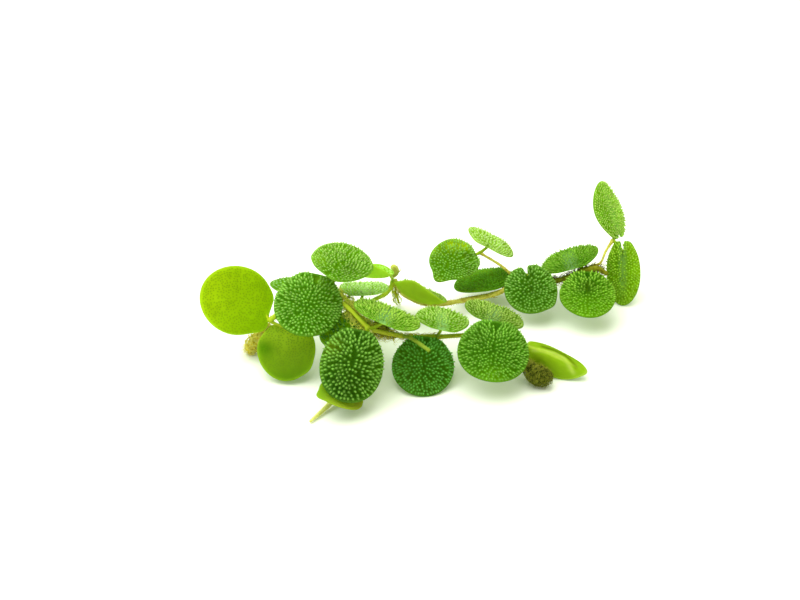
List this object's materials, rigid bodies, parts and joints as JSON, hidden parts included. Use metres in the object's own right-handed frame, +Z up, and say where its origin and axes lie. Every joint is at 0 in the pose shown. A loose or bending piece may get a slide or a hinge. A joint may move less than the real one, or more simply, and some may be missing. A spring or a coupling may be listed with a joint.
{
  "type": "salvinia",
  "caption": "Small floating fern, lifted from the water and lying on a surface: hairy rounded leaves in pairs along a thin branching stem, with tufts of root-like leaves.",
  "frame": {"origin": "middle of the plant's bounding box, at the level of the surface that it lies on", "axes": "+X along the plant's length, towards its far right end in the picture; +Y away from the picture's camera; +Z up"},
  "size_m": [0.0854, 0.0599, 0.0222],
  "materials": {
    "leaf_green": "mid-green leaf with whitish water-repelling hairs",
    "leaf_dark": "deep green leaf with whitish water-repelling hairs",
    "leaf_pale": "light green leaf with whitish water-repelling hairs",
    "leaf_underside": "yellow-green leaf underside, smooth and slightly glossy",
    "stem_straw": "pale straw-coloured stem",
    "stem_golden": "golden stem with brown bristles",
    "stem_brown": "dark reddish-brown stem with bristles",
    "bud_olive": "olive-brown young shoot with fine hairs",
    "roots_olive": "olive tuft of hairy root-like leaves",
    "roots_brown": "brown tuft of hairy root-like leaves",
    "roots_straw": "straw-coloured tuft of hairy root-like leaves"
  },
  "bodies": {
    "root": {"leaf_left_end": "leaf_underside", "leaf_left_low": "leaf_underside", "leaf_left_front": "leaf_green", "leaf_left_top": "leaf_green", "leaf_left_back": "leaf_green", "leaf_inner_back": "leaf_pale", "leaf_inner_low": "leaf_dark", "leaf_centre_back": "leaf_pale", "leaf_centre_front": "leaf_dark", "leaf_middle_back": "leaf_pale", "leaf_middle_front": "leaf_dark", "leaf_right_back": "leaf_green", "leaf_right_front": "leaf_green", "leaf_folded_front": "leaf_underside", "leaf_folded_back": "leaf_underside", "leaf_small_back": "leaf_underside", "leaf_back_left": "leaf_green", "leaf_back_right": "leaf_pale", "leaf_shaded": "leaf_dark", "leaf_right_middle": "leaf_green", "leaf_far_back": "leaf_green", "leaf_far_front": "leaf_green", "leaf_far_low": "leaf_green", "leaf_top": "leaf_pale", "leaf_under_tail": "leaf_underside", "rhizome_left": "stem_straw", "rhizome_front": "stem_brown", "shoot_left_back": "stem_golden", "runner_left": "stem_golden", "runner_back": "stem_golden", "runner_right": "stem_brown", "shoot_right": "stem_golden", "shoot_right_back": "stem_golden", "old_rhizome": "stem_straw", "stub_front": "stem_straw", "stub_back": "stem_golden", "bud_back": "bud_olive", "roots_left": "roots_olive", "roots_centre": "roots_brown", "roots_back": "roots_straw", "roots_right": "roots_olive"}
  },
  "joints": []
}
